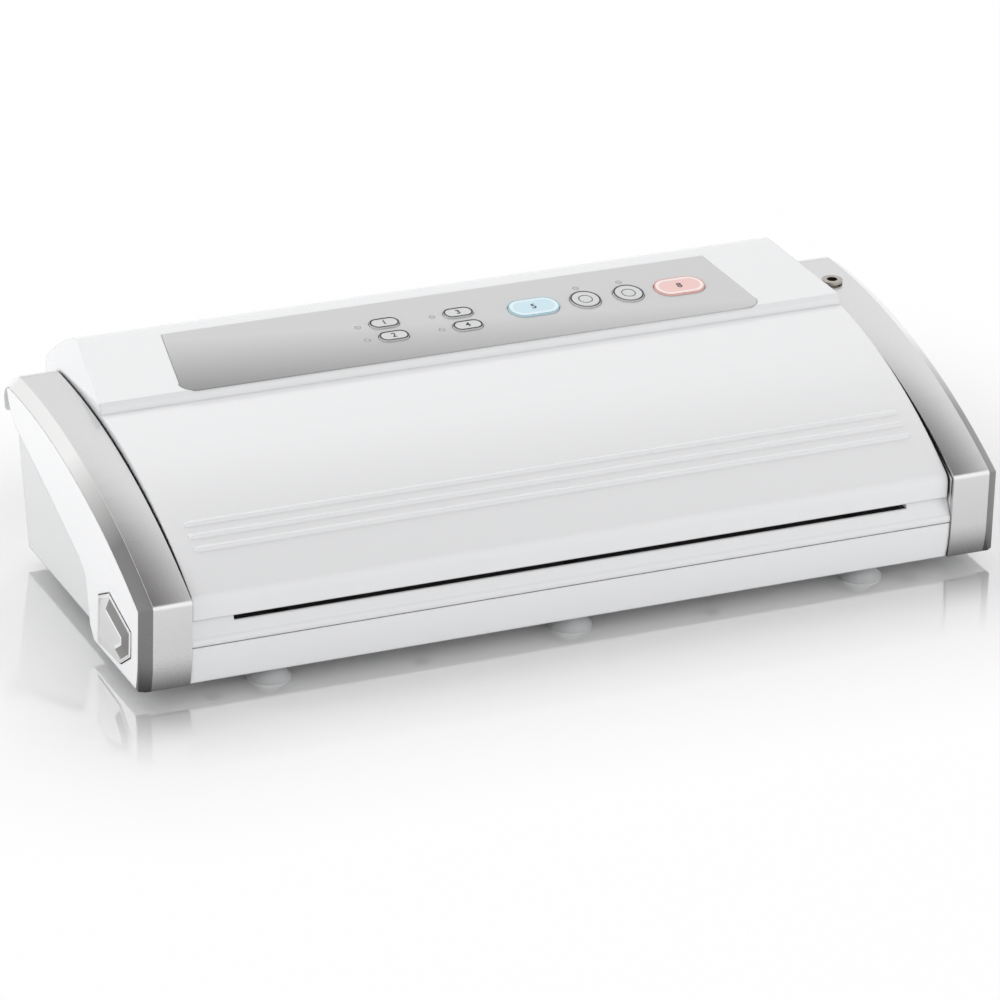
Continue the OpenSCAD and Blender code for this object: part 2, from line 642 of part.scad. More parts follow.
module lid_shell() color(white) from_front() {
  step = cover_y - 2;
  top = cover_z + 1.5;
  difference() {
    union() {
      difference() {
        lid_form(0) polygon(concat([[nose_y, lip_z]], lid_line(0),
          [[hinge_y - 6, top], [step, top], [step, lip_z]]));
        lid_form(wall) polygon(concat([[nose_y + wall, lip_z - 9]], lid_line(wall),
          [[body_d - wall, 20], [nose_y + wall, 20]]));
      }
      for (i = [0:2]) bead(39.5 - 6.5 * i);
      for (x = [-62, 132], s = [6, 43]) on_face(x, s) translate([0, 0, -7.4]) cylinder(r = 2.5, h = 6);
    }
    key_window(key_clear + 0.1);
    on_face(0, 0) translate([0, 0, -0.5]) linear_extrude(9) overlay_plan(0.15);
    for (side = [-1, 1]) translate([side * (lid_x - wall / 2), hinge_y, hinge_z]) rotate([0, 90, 0])
      cylinder(r = pin_r + 0.5, h = wall + 2, center = true);
  }
}
module bead(y) {
  r = 1.9;
  translate([0, y, slope_at(y) - r + bead_h]) {
    rotate([0, 90, 0]) cylinder(r = r, h = 2 * (lid_x - 11), center = true);
    for (side = [-1, 1]) translate([side * (lid_x - 11), 0, 0]) sphere(r);
  }
}
module lid_liner() color(white) from_front() {
  step = cover_y - 2;
  top = cover_z + 1.5;
  difference() {
    union() {
      mid_x(2 * liner_x) polygon([[nose_y + wall + seam, lip_z], [step, lip_z], [step, top], [hinge_y - 8, top],
        [hinge_y - 8, top + wall], [step - wall, top + wall], [step - wall, lip_z + wall],
        [nose_y + wall + seam, lip_z + wall]]);
      for (side = [-1, 1]) mirror([side < 0 ? 1 : 0, 0, 0]) {
        translate([liner_x - 10, hinge_y, hinge_z]) rotate([0, 90, 0]) cylinder(r = 7, h = 10);
        block(liner_x - 10, liner_x, hinge_y - 14, hinge_y - 3, top, hinge_z + 5);
      }
      for (x = [-120, 0, 120]) block(x - 1, x + 1, 10, step - wall, lip_z + wall, lip_z + wall + 3);
    }
    for (side = [-1, 1]) translate([side * (liner_x - 5), hinge_y, hinge_z]) rotate([0, 90, 0])
      cylinder(r = pin_r + pin_clear, h = 12, center = true);
    translate([0, trough_y, lip_z - 1]) linear_extrude(1 + 1.5)
      frame_rect(2 * gasket_x + 0.2, gasket_l + 0.2, gasket_w + 0.2, 9);
    block(-bar_x - 0.1, bar_x + 0.1, bar_y - 5.1, bar_y + 5.1, lip_z - 1, lip_z + 1.5);
    for (spot = liner_screws) translate([spot[0], spot[1], lip_z - 1]) {
      cylinder(r = 1.6, h = 9);
      cylinder(r = 3.4, h = 2.6);
    }
  }
}
module upper_gasket() color("#3a3c3e") from_front() {
  translate([0, trough_y, shelf_z + 2.4]) linear_extrude(lip_z + 1.5 - shelf_z - 2.4)
    frame_rect(2 * gasket_x, gasket_l, gasket_w, 9);
}
module pressure_strip() color("#8f3b2e") from_front()
  block(-bar_x, bar_x, bar_y - 5, bar_y + 5, shelf_z + 1.9, lip_z + 1.5);
module lid_screws() color("#87898c") from_front()
  for (spot = liner_screws) translate([spot[0], spot[1], lip_z - 0.1]) screw(7);

module striker() {
  stem = latch_y - 4;
  block(striker_x, striker_x + 2.5, stem, stem + 8, latch_z + latch_t + 0.4, lip_z);
  along_y(stem, stem + 8) polygon([[striker_x - 2.6, latch_z + latch_t + 1.6], [striker_x, latch_z + latch_t + 0.4],
    [striker_x + 1, latch_z + latch_t + 0.4], [striker_x + 1, latch_z + latch_t + 4.4],
    [striker_x, latch_z + latch_t + 4.4], [striker_x - 2.6, latch_z + latch_t + 2.8]]);
}
module along_y(y0, y1) translate([0, y1, 0]) rotate([90, 0, 0]) linear_extrude(y1 - y0) children();
module left_striker() color(white) from_front() left_side() striker();
module right_striker() color(white) from_front() striker();

// ---- control panel ----

module overlay_plan(grow) {
  w = overlay_w / 2 + grow;
  t = overlay_top / 2 + grow;
  r = 7;
  polygon(concat([[-t, overlay_h + grow], [-w + 0.6, r]], [for (a = [180:15:270]) [-w + r + r * cos(a), r - grow + r * sin(a)]],
    [for (a = [270:15:360]) [w - r + r * cos(a), r - grow + r * sin(a)]], [[w - 0.6, r], [t, overlay_h + grow]]));
}
module control_overlay() color("#c4c6c8") from_front() {
  difference() {
    on_face(0, 0) translate([0, 0, -0.5]) linear_extrude(overlay_t) overlay_plan(0);
    key_window(key_clear);
  }
}
module control_board() color("#2f6b3f") from_front() {
  on_face(35, 24.5) translate([0, 0, -9]) linear_extrude(1.6) square([202, 42], center = true);
  on_face(-20, 5.5) translate([0, 0, -12]) linear_extrude(3) square([20, 5], center = true);
}
module key_switches() color(dark) from_front()
  for (spot = concat(small_keys, [seal_key, pulse_key, marinate_key, manual_key])) on_face(spot[0], spot[1]) {
    translate([0, 0, -6.6]) cube([6, 6, 1.6], center = true);
    translate([0, 0, -5.8]) cylinder(r = 1.7, h = 0.5);
  }
module indicator_lights() color("#d8d2a8") from_front() for (spot = light_spots) on_face(spot[0], spot[1]) {
  translate([0, 0, -7.4]) cylinder(r = 1.9, h = 3.4);
  translate([0, 0, -7.4]) cylinder(r = 1.3, h = 7.5);
}
module key_body(w, h, spot) {
  on_face(spot[0], spot[1]) {
    translate([0, 0, -3.4]) linear_extrude(4.2) pill(w, h);
    translate([0, 0, -4.4]) linear_extrude(1.5) pill(w + 2.4, h + 2.4);
  }
}
module key_slow() color("#d2d4d6") from_front() key_body(pill_w, pill_h, small_keys[0]);
module key_normal() color("#d2d4d6") from_front() key_body(pill_w, pill_h, small_keys[1]);
module key_dry() color("#d2d4d6") from_front() key_body(pill_w, pill_h, small_keys[2]);
module key_humid() color("#d2d4d6") from_front() key_body(pill_w, pill_h, small_keys[3]);
module key_vacuum_seal() color("#c3dbe2") from_front() key_body(wide_w, wide_h, seal_key);
module key_manual_seal() color("#e9bdb8") from_front() key_body(wide_w, wide_h, manual_key);
module round_key(spot) on_face(spot[0], spot[1]) {
  translate([0, 0, -3.4]) cylinder(d = round_d, h = 4.2);
  translate([0, 0, -4.4]) cylinder(d = round_d + 2.4, h = 1.5);
}
module key_pulse() color("#d2d4d6") from_front() round_key(pulse_key);
module key_marinate() color("#d2d4d6") from_front() round_key(marinate_key);

// ---- release buttons and latches ----

module release_button() {
  face_x = half_w + press_proud;
  along_x(face_x - 1.6, face_x) offset(delta = -1.6) polygon(press_face);
  along_x(half_w - wall - 0.4, face_x - 1.6) polygon(press_face);
  along_x(half_w - wall - 2, half_w - wall - 0.3) intersection() {
    union() for (shift = [-1.6, 1.6]) translate([shift, 0]) polygon(press_face);
    translate([0, floor_z + 0.4]) square([90, 60]);
  }
}
module latch() {
  outer = half_w - wall - 2;
  difference() {
    block(striker_x - 8.5, outer, latch_y - 6, latch_y + 6, latch_z, latch_z + latch_t);
    block(striker_x - 1.3, striker_x + 8, latch_y - 4.6, latch_y + 4.6, latch_z - 1, latch_z + latch_t + 1);
  }
}
module button_spring() {
  start = strap_in + wall + 0.6;
  length = half_w - wall - 2 - start - 0.6;
  turns = 5;
  hose([for (i = [0:turns * 10]) [start + length * i / (turns * 10), latch_y + 3.2 * cos(36 * i),
    17.5 + 3.2 * sin(36 * i)]], 0.6);
}
module left_release_button() color(silver) from_front() left_side() release_button();
module right_release_button() color(silver) from_front() release_button();
module left_latch() color(dark) from_front() left_side() latch();
module right_latch() color(dark) from_front() latch();
module left_button_spring() color("#9b9ea1") from_front() left_side() button_spring();
module right_button_spring() color("#9b9ea1") from_front() button_spring();

base_tray();
deck();
pump_cover();
rear_panel();
left_trim();
right_trim();
left_end_cover();
right_end_cover();
sealing_bar();
heating_strip();
release_tape();
lower_gasket();
chamber_nozzle();
chamber_hose();
pump_head();
pump_motor();
solenoid_valve();
port_hose();
accessory_port();
transformer();
power_board();
micro_switches();
mains_inlet();
inlet_pins();
left_hinge_pin();
right_hinge_pin();
front_left_foot();
front_middle_foot();
front_right_foot();
rear_left_foot();
rear_middle_foot();
rear_right_foot();
base_screws();
lid_shell();
lid_liner();
upper_gasket();
pressure_strip();
control_overlay();
control_board();
key_switches();
indicator_lights();
lid_screws();
left_striker();
right_striker();
key_slow();
key_normal();
key_dry();
key_humid();
key_vacuum_seal();
key_pulse();
key_marinate();
key_manual_seal();
left_release_button();
right_release_button();
left_latch();
right_latch();
left_button_spring();
right_button_spring();
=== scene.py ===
import bpy
import math
from mathutils import Matrix, Vector


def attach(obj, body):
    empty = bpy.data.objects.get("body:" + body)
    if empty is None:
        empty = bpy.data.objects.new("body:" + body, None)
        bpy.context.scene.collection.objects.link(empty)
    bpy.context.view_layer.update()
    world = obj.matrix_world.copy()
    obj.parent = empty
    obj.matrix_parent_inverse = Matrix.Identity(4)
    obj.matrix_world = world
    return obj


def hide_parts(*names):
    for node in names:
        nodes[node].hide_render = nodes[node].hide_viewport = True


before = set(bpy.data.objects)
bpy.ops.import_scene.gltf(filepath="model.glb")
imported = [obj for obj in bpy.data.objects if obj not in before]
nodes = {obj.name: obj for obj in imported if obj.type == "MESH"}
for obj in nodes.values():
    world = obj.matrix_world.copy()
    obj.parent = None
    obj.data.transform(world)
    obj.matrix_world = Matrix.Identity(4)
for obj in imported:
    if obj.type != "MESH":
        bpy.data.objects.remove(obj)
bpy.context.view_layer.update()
mm = 0.001
print("frame loaded:", len(nodes), "nodes")


def clearSelection():
    if bpy.context.object and bpy.context.object.mode != "OBJECT":
        bpy.ops.object.mode_set(mode="OBJECT")
    bpy.ops.object.select_all(action="DESELECT")


def pickOnly(piece):
    clearSelection()
    piece.select_set(True)
    bpy.context.view_layer.objects.active = piece


def settle(piece):
    # puts the piece's place into its mesh, so that its object sits at the origin
    pickOnly(piece)
    bpy.ops.object.transform_apply(location=True, rotation=True, scale=True)


def joinAll(pieces, name):
    clearSelection()
    for piece in pieces:
        piece.select_set(True)
    bpy.context.view_layer.objects.active = pieces[0]
    if len(pieces) > 1:
        bpy.ops.object.join()
    joined = bpy.context.object
    joined.name = name
    joined.data.name = name
    return joined


# the camera stands to the front left, well above the machine
cameraSetup = {
    "aim": (4.557, 6.0, 21.98),
    "azimuth": 24.681,
    "elevation": 24.897,
    "roll": 1.836,
    "distance": 2862.8,
    "lens": 223.98,
}


def addCamera():
    az, el, roll = (math.radians(cameraSetup[k]) for k in ("azimuth", "elevation", "roll"))
    back = Vector((-math.sin(az) * math.cos(el), -math.cos(az) * math.cos(el), math.sin(el)))
    right = Vector((math.cos(az), -math.sin(az), 0))
    up = back.cross(right)
    side = right * math.cos(roll) + up * math.sin(roll)
    head = up * math.cos(roll) - right * math.sin(roll)
    spot = (Vector(cameraSetup["aim"]) + back * cameraSetup["distance"]) * mm
    bpy.ops.object.camera_add()
    camera = bpy.context.object
    camera.name = "productCamera"
    camera.matrix_world = Matrix.Translation(spot) @ Matrix((side, head, back)).transposed().to_4x4()
    camera.data.sensor_width = 36
    camera.data.lens = cameraSetup["lens"]
    camera.data.clip_end = 60
    bpy.context.scene.camera = camera


addCamera()
print("camera placed")


def addNode(tree, kind, **values):
    made = tree.nodes.new(kind)
    for key, value in values.items():
        setattr(made, key, value)
    return made


def linkMath(tree, operation, first, second):
    # either operand is a socket or a number
    made = addNode(tree, "ShaderNodeMath", operation=operation)
    for place, value in enumerate((first, second)):
        if isinstance(value, (int, float)):
            made.inputs[place].default_value = value
        else:
            tree.links.new(value, made.inputs[place])
    return made.outputs[0]


def linkRange(tree, value, spans, interpolation="LINEAR"):
    # spans: any of From Min, From Max, To Min and To Max
    made = addNode(tree, "ShaderNodeMapRange", interpolation_type=interpolation)
    for key, amount in spans.items():
        made.inputs[key].default_value = amount
    tree.links.new(value, made.inputs["Value"])
    return made.outputs["Result"]


def linkMix(tree, share, first, second):
    # two colours, each a socket or three numbers
    made = addNode(tree, "ShaderNodeMix", data_type="RGBA")
    tree.links.new(share, made.inputs[0])
    for place, value in ((6, first), (7, second)):
        if isinstance(value, tuple):
            made.inputs[place].default_value = (*value, 1)
        else:
            tree.links.new(value, made.inputs[place])
    return made.outputs[2]


def linkRamp(tree, value, low, high, ends=(0.0, 1.0)):
    made = addNode(tree, "ShaderNodeValToRGB")
    for place, color in enumerate((low, high)):
        made.color_ramp.elements[place].position = ends[place]
        made.color_ramp.elements[place].color = (*color, 1)
    tree.links.new(value, made.inputs["Fac"])
    return made.outputs["Color"]


def setStops(ramp, stops):
    for place, (position, color) in enumerate(stops):
        if place < 2:
            stop = ramp.color_ramp.elements[place]
            stop.position = position
        else:
            stop = ramp.color_ramp.elements.new(position)
        stop.color = (*color, 1)


def linkAxes(tree, point):
    made = addNode(tree, "ShaderNodeSeparateXYZ")
    tree.links.new(point, made.inputs["Vector"])
    return made.outputs["X"], made.outputs["Y"], made.outputs["Z"]


def newFinish(name, color, roughness, metallic=0.0, **sockets):
    material = bpy.data.materials.new(name)
    material.use_nodes = True
    shader = material.node_tree.nodes["Principled BSDF"]
    shader.inputs["Base Color"].default_value = (*color, 1)
    shader.inputs["Roughness"].default_value = roughness
    shader.inputs["Metallic"].default_value = metallic
    for key, value in sockets.items():
        shader.inputs[key.replace("_", " ")].default_value = value
    material.diffuse_color = (*color, 1)
    return material, material.node_tree, shader


def objectPoint(tree, scale=(1, 1, 1)):
    coordinates = addNode(tree, "ShaderNodeTexCoord")
    mapping = addNode(tree, "ShaderNodeMapping")
    mapping.inputs["Scale"].default_value = scale
    tree.links.new(coordinates.outputs["Object"], mapping.inputs["Vector"])
    return mapping.outputs["Vector"]


raySamples = 6  # for the nodes that look at the shape around a point


def softEdge(tree, radius):
    # moulded edges catch the light as if they were rounded
    rounded = addNode(tree, "ShaderNodeBevel", samples=raySamples)
    rounded.inputs["Radius"].default_value = radius * mm
    return rounded.outputs["Normal"]


# painted shade in narrow gaps: where the occlusion ramp runs, and the share of the colour left there
creviceShadeTone = {"ends": (0.34, 0.62), "share": 0.06}


def paintCreviceShade(tree, shader, color, reach):
    # painted shade: the base colour darkens in the narrow gaps between mouldings, as far as the occlusion finds them
    near = addNode(tree, "ShaderNodeAmbientOcclusion", samples=raySamples)
    near.inputs["Distance"].default_value = reach * mm
    dark = tuple(part * creviceShadeTone["share"] for part in color)
    shaded = linkRamp(tree, near.outputs["AO"], dark, color, creviceShadeTone["ends"])
    tree.links.new(shaded, shader.inputs["Base Color"])
    return shaded


noiseSpan = (0.3, 0.7)  # the part of the noise that is spread over roughness and tones


def addGrain(tree, shader, grain):
    # grain: noise scale, stretch, roughness low and high, two tones, bump height in mm, edge radius in mm
    point = objectPoint(tree, grain.get("stretch", (1, 1, 1)))
    noise = addNode(tree, "ShaderNodeTexNoise")
    noise.inputs["Scale"].default_value = grain["scale"]
    noise.inputs["Detail"].default_value = grain.get("detail", 4)
    tree.links.new(point, noise.inputs["Vector"])
    if "rough" in grain:
        spans = {"From Min": noiseSpan[0], "From Max": noiseSpan[1], "To Min": grain["rough"][0],
                 "To Max": grain["rough"][1]}
        tree.links.new(linkRange(tree, noise.outputs["Fac"], spans), shader.inputs["Roughness"])
    if "tones" in grain:
        tones = linkRamp(tree, noise.outputs["Fac"], *grain["tones"], noiseSpan)
        tree.links.new(tones, shader.inputs["Base Color"])
    if "bump" in grain:
        bump = addNode(tree, "ShaderNodeBump")
        bump.inputs["Strength"].default_value = grain.get("strength", 0.5)
        bump.inputs["Distance"].default_value = grain["bump"] * mm
        tree.links.new(noise.outputs["Fac"], bump.inputs["Height"])
        tree.links.new(bump.outputs["Normal"], shader.inputs["Normal"])
        if "edge" in grain:
            tree.links.new(softEdge(tree, grain["edge"]), bump.inputs["Normal"])
    elif "edge" in grain:
        tree.links.new(softEdge(tree, grain["edge"]), shader.inputs["Normal"])


whiteGloss = {
    "color": (0.83, 0.835, 0.845),
    "roughness": 0.2,
    # mm, reach of the painted shade in narrow gaps
    "crevice": 3.0,
    "grain": {"scale": 900, "rough": (0.17, 0.24), "bump": 0.004, "strength": 0.25, "edge": 1.4},
}
# the side panels' grey is painted shade on the white side walls, which stand back in shadow
sidePanelShade = {"from": 189.5, "color": (0.68, 0.685, 0.69)}  # mm from the middle, and its tone
silverLacquerAndShade = {
    "color": (0.67, 0.67, 0.675),
    # painted reflection on the outer bevel: dark at the front, pale at the back
    "bevelShadeFront": (0.22, 0.216, 0.215),
    "bevelHighlightBack": (0.86, 0.86, 0.855),
    "bevelShadeFrom": -58,  # mm, where the dark end stops
    "bevelShadeTo": 2,
    "flat": 204.6,  # mm, edge of the strap's flat
    "tailFrom": -12.0,  # mm, distance back less height, where the lacquer stops
    # painted shade on the front's foot: from and to in mm, and the darkest share
    "footShadeFrom": 5,  # mm, where the front's foot is darkest
    "footShadeTo": 24,
    "footShade": 0.25,
    "roughness": 0.28,
    "grain": {"scale": 3000, "rough": (0.265, 0.295)},
}


def makeFinish(name, recipe, **sockets):
    metallic = recipe.get("metallic", 0.0)
    material, tree, shader = newFinish(name, recipe["color"], recipe["roughness"], metallic, **sockets)
    if "grain" in recipe:
        addGrain(tree, shader, recipe["grain"])
    # painted shade in the narrow gaps
    if "crevice" in recipe:
        paintCreviceShade(tree, shader, recipe["color"], recipe["crevice"])
    return material


whitePlastic = makeFinish("whitePlastic", whiteGloss, IOR=1.58, Coat_Weight=0.6, Coat_Roughness=0.08)
innerWhite = makeFinish("innerWhite", {
    "color": (0.8, 0.805, 0.81), "roughness": 0.42,
    "grain": {"scale": 1300, "rough": (0.38, 0.46), "bump": 0.008, "strength": 0.3},
}, IOR=1.5)


def trayFinish():
    # white front panel; the side panels get a grey painted shade
    material, tree, shader = newFinish("trayPlastic", whiteGloss["color"], whiteGloss["roughness"], IOR=1.58)
    addGrain(tree, shader, whiteGloss["grain"])
    plain = paintCreviceShade(tree, shader, whiteGloss["color"], whiteGloss["crevice"])
    across = linkAxes(tree, objectPoint(tree))[0]
    # painted shade beyond the front panel's edge
    beyond = linkMath(tree, "GREATER_THAN", linkMath(tree, "ABSOLUTE", across, 0.0), sidePanelShade["from"] * mm)
    tree.links.new(linkMix(tree, beyond, plain, sidePanelShade["color"]), shader.inputs["Base Color"])
    return material


def strapFinish():
    # satin silver lacquer, with painted light on it: the outer bevel runs from a painted highlight at the back to
    # painted shade at the front
    lacquer = silverLacquerAndShade
    material, tree, shader = newFinish("silverStrap", lacquer["color"], lacquer["roughness"], 1.0)
    addGrain(tree, shader, lacquer["grain"])
    across, along, up = linkAxes(tree, objectPoint(tree))
    # painted reflection on the outer bevel, dark at the front and pale at the back
    run = linkRange(tree, along, {"From Min": lacquer["bevelShadeFrom"] * mm, "From Max": lacquer["bevelShadeTo"] * mm})
    paintedBevelTone = linkRamp(tree, run, lacquer["bevelShadeFront"], lacquer["bevelHighlightBack"])
    beyond = linkMath(tree, "GREATER_THAN", linkMath(tree, "ABSOLUTE", across, 0.0), lacquer["flat"] * mm)
    tone = linkMix(tree, beyond, lacquer["color"], paintedBevelTone)
    # painted shade: the front darkens towards its foot
    footShadeSpans = {"From Min": lacquer["footShadeFrom"] * mm, "From Max": lacquer["footShadeTo"] * mm,
                 "To Min": lacquer["footShade"]}
    shaded = addNode(tree, "ShaderNodeVectorMath", operation="SCALE")
    tree.links.new(tone, shaded.inputs[0])
    tree.links.new(linkRange(tree, up, footShadeSpans, "SMOOTHSTEP"), shaded.inputs["Scale"])
    # the lacquer stops at the rear corner, and the tail below it stays white
    tail = linkMath(tree, "GREATER_THAN", linkMath(tree, "SUBTRACT", along, up), lacquer["tailFrom"] * mm)
    tree.links.new(linkMix(tree, tail, shaded.outputs[0], whiteGloss["color"]), shader.inputs["Base Color"])
    tree.links.new(linkMath(tree, "SUBTRACT", 1.0, tail), shader.inputs["Metallic"])
    return material


# painted shade: the bag slot's interior is painted black
slotShade = {"halfWidth": 165.0, "top": 35.9, "front": -88.6, "color": (0.012, 0.012, 0.013)}


def deckFinish():
    # white like the housing, with the bag slot painted black as painted shade under the lid's lip
    material, tree, shader = newFinish("deckPlastic", whiteGloss["color"], whiteGloss["roughness"], IOR=1.58)
    addGrain(tree, shader, whiteGloss["grain"])
    across, along, up = linkAxes(tree, objectPoint(tree))
    # painted shade inside the bag slot
    inSlot = linkMath(tree, "LESS_THAN", linkMath(tree, "ABSOLUTE", across, 0.0), slotShade["halfWidth"] * mm)
    below = linkMath(tree, "LESS_THAN", up, slotShade["top"] * mm)
    behind = linkMath(tree, "GREATER_THAN", along, slotShade["front"] * mm)
    slotShadeMask = linkMath(tree, "MULTIPLY", linkMath(tree, "MULTIPLY", inSlot, below), behind)
    tree.links.new(linkRamp(tree, slotShadeMask, whiteGloss["color"], slotShade["color"]), shader.inputs["Base Color"])
    return material


deckPlastic = deckFinish()
silverStrap = strapFinish()
trayPlastic = trayFinish()


def buttonFinish(name, color):
    return makeFinish(name, {
        "color": color, "roughness": 0.3, "metallic": 1.0,
        "grain": {"scale": 2400, "rough": (0.28, 0.33)},
    })


# the button's own silver, then lit and shaded copies of it for the painted highlight and painted shade
silverButton = buttonFinish("silverButton", (0.8, 0.8, 0.805))
paintedShadeSilver = buttonFinish("paintedShadeSilver", (0.27, 0.265, 0.26))
paintedHighlightSilver = buttonFinish("paintedHighlightSilver", (0.97, 0.97, 0.97))
portMetal = makeFinish("portMetal", {
    "color": (0.42, 0.38, 0.34), "roughness": 0.22, "metallic": 1.0,
    "grain": {"scale": 700, "rough": (0.18, 0.28), "tones": ((0.38, 0.34, 0.3), (0.46, 0.42, 0.38))},
})
steel = makeFinish("steel", {
    "color": (0.55, 0.55, 0.56), "roughness": 0.32, "metallic": 1.0,
    "grain": {"scale": 400, "stretch": (1, 6, 6), "rough": (0.26, 0.4),
              "tones": ((0.48, 0.48, 0.49), (0.62, 0.62, 0.63))},
})
brass = makeFinish("brass", {
    "color": (0.68, 0.52, 0.26), "roughness": 0.28, "metallic": 1.0,
    "grain": {"scale": 600, "rough": (0.22, 0.36), "tones": ((0.62, 0.47, 0.22), (0.74, 0.58, 0.3))},
})
darkPlastic = makeFinish("darkPlastic", {
    "color": (0.03, 0.031, 0.033), "roughness": 0.5,
    "grain": {"scale": 1500, "rough": (0.42, 0.58), "bump": 0.01, "strength": 0.5},
})
foam = makeFinish("foam", {
    "color": (0.05, 0.05, 0.053), "roughness": 0.9,
    "grain": {"scale": 2600, "rough": (0.82, 0.97), "bump": 0.12,
              "tones": ((0.035, 0.035, 0.038), (0.075, 0.075, 0.08))},
})
silicone = makeFinish("silicone", {
    "color": (0.4, 0.09, 0.06), "roughness": 0.62,
    "grain": {"scale": 1100, "rough": (0.55, 0.7), "bump": 0.01,
              "tones": ((0.36, 0.075, 0.05), (0.44, 0.11, 0.075))},
})
woven = makeFinish("woven", {
    "color": (0.36, 0.24, 0.12), "roughness": 0.5,
    "grain": {"scale": 1800, "stretch": (1, 3, 3), "rough": (0.42, 0.58),
              "tones": ((0.3, 0.19, 0.09), (0.42, 0.29, 0.16))},
})
board = makeFinish("board", {
    "color": (0.03, 0.17, 0.07), "roughness": 0.35,
    "grain": {"scale": 500, "rough": (0.28, 0.42), "tones": ((0.02, 0.14, 0.05), (0.04, 0.21, 0.09))},
})
clearRubber = makeFinish("clearRubber", {
    "color": (0.62, 0.63, 0.635), "roughness": 0.36,
    "grain": {"scale": 160, "rough": (0.32, 0.42)},
}, Transmission_Weight=0.3, IOR=1.42)
lens = makeFinish("lens", {
    "color": (0.5, 0.5, 0.5), "roughness": 0.2,
    "grain": {"scale": 900, "rough": (0.16, 0.26), "tones": ((0.42, 0.42, 0.42), (0.56, 0.56, 0.56))},
})
ink = makeFinish("ink", {
    "color": (0.035, 0.035, 0.038), "roughness": 0.55,
    "grain": {"scale": 2600, "rough": (0.5, 0.6), "tones": ((0.03, 0.03, 0.032), (0.045, 0.045, 0.048))},
})


def keyFinish(name, low, high):
    return makeFinish(name, {
        "color": low, "roughness": 0.4,
        "grain": {"scale": 2200, "rough": (0.36, 0.46), "tones": (low, high)},
    }, IOR=1.48)


keySilver = keyFinish("keySilver", (0.64, 0.645, 0.65), (0.7, 0.705, 0.71))
keyBlue = keyFinish("keyBlue", (0.6, 0.78, 0.86), (0.63, 0.8, 0.88))
keyPink = keyFinish("keyPink", (0.85, 0.57, 0.54), (0.88, 0.6, 0.57))
tealInk = keyFinish("tealInk", (0.1, 0.36, 0.45), (0.12, 0.4, 0.5))
redInk = keyFinish("redInk", (0.6, 0.13, 0.1), (0.66, 0.17, 0.13))
paleBlue = keyFinish("paleBlue", (0.76, 0.87, 0.91), (0.79, 0.9, 0.94))
palePink = keyFinish("palePink", (0.9, 0.8, 0.78), (0.93, 0.83, 0.81))


filmSetup = {
    "color": (0.6, 0.6, 0.61),
    "roughness": 0.36,
    "metallic": 0.3,
    "grain": {"scale": 3200, "rough": (0.32, 0.42)},
    "across": (-145, 145, 0.45),  # mm from and to, and the share it adds
    "along": (26, 74, 0.55),
    "stops": [(0.0, 0.27), (0.25, 0.44), (0.5, 0.6), (1.0, 0.6)],  # position and grey
    "cool": 0.005,  # what blue has more
}


def panelFilm():
    # satin silver film, darker towards its lower left
    film = filmSetup
    material, tree, shader = newFinish("panelFilm", film["color"], film["roughness"], film["metallic"])
    addGrain(tree, shader, film["grain"])
    across, along = linkAxes(tree, objectPoint(tree))[:2]
    shares = []
    for value, (start, end, most) in ((across, film["across"]), (along, film["along"])):
        shares.append(linkRange(tree, value, {"From Min": start * mm, "From Max": end * mm, "To Max": most}))
    total = linkMath(tree, "ADD", *shares)
    ramp = addNode(tree, "ShaderNodeValToRGB")
    setStops(ramp, [(position, (grey, grey, grey + film["cool"])) for position, grey in film["stops"]])
    tree.links.new(total, ramp.inputs["Fac"])
    tree.links.new(ramp.outputs["Color"], shader.inputs["Base Color"])
    return material


filmSilver = panelFilm()

finishOf = {
    whitePlastic: ["left_end_cover", "right_end_cover", "lid_shell"],
    trayPlastic: ["base_tray"],
    deckPlastic: ["deck"],
    innerWhite: ["pump_cover", "rear_panel", "lid_liner", "left_striker", "right_striker"],
    silverStrap: ["left_trim", "right_trim"],
    silverButton: ["left_release_button", "right_release_button"],
    portMetal: ["accessory_port"],
    steel: ["left_hinge_pin", "right_hinge_pin", "base_screws", "lid_screws", "left_button_spring",
            "right_button_spring", "pump_motor", "transformer"],
    brass: ["heating_strip", "inlet_pins"],
    darkPlastic: ["pump_head", "micro_switches", "key_switches", "mains_inlet", "left_latch", "right_latch",
                  "chamber_nozzle", "solenoid_valve", "sealing_bar"],
    foam: ["lower_gasket", "upper_gasket"],
    silicone: ["pressure_strip"],
    woven: ["release_tape"],
    board: ["power_board", "control_board"],
    clearRubber: ["chamber_hose", "port_hose", "front_left_foot", "front_middle_foot", "front_right_foot",
                  "rear_left_foot", "rear_middle_foot", "rear_right_foot"],
    lens: ["indicator_lights"],
    filmSilver: ["control_overlay"],
    keySilver: ["key_slow", "key_normal", "key_dry", "key_humid", "key_pulse", "key_marinate"],
    keyBlue: ["key_vacuum_seal"],
    keyPink: ["key_manual_seal"],
}
for material, names in finishOf.items():
    for name in names:
        nodes[name].data.materials.clear()
        nodes[name].data.materials.append(material)
print("finishes assigned")

roundedPieces = {
    "strap_left": {"node": "left_trim", "body": "base", "slot": "silver_trim", "round": 0.7},
    "strap_right": {"node": "right_trim", "body": "base", "slot": "silver_trim", "round": 0.7},
    "button_left": {"node": "left_release_button", "body": "left_button", "slot": "button_silver", "round": 0.9,
                    "border": 4.8, "drop": 2.2, "highlightLineWidth": 1.5},
    "button_right": {"node": "right_release_button", "body": "right_button", "slot": "button_silver", "round": 0.9,
                     "border": 4.8, "drop": 2.2, "highlightLineWidth": 1.5},
}
copySetup = {
    "merge": 0.01,  # mm, for the loose triangles of a CAD node
    "near": 0.05,  # mm, for a point that lies in the pressed face
    "facing": 0.99,  # least sideways part of the normal of a face that looks straight out
    "flat": 0.4,  # degrees, below which faces are one
    "edge": 28,  # degrees, above which an edge is rounded
    "segments": 4,
    "smooth": 26,
    "shadeUp": 0.4,  # how much a border that looks up counts beside one that looks to the front
    "shadeFrom": 0.3,
}


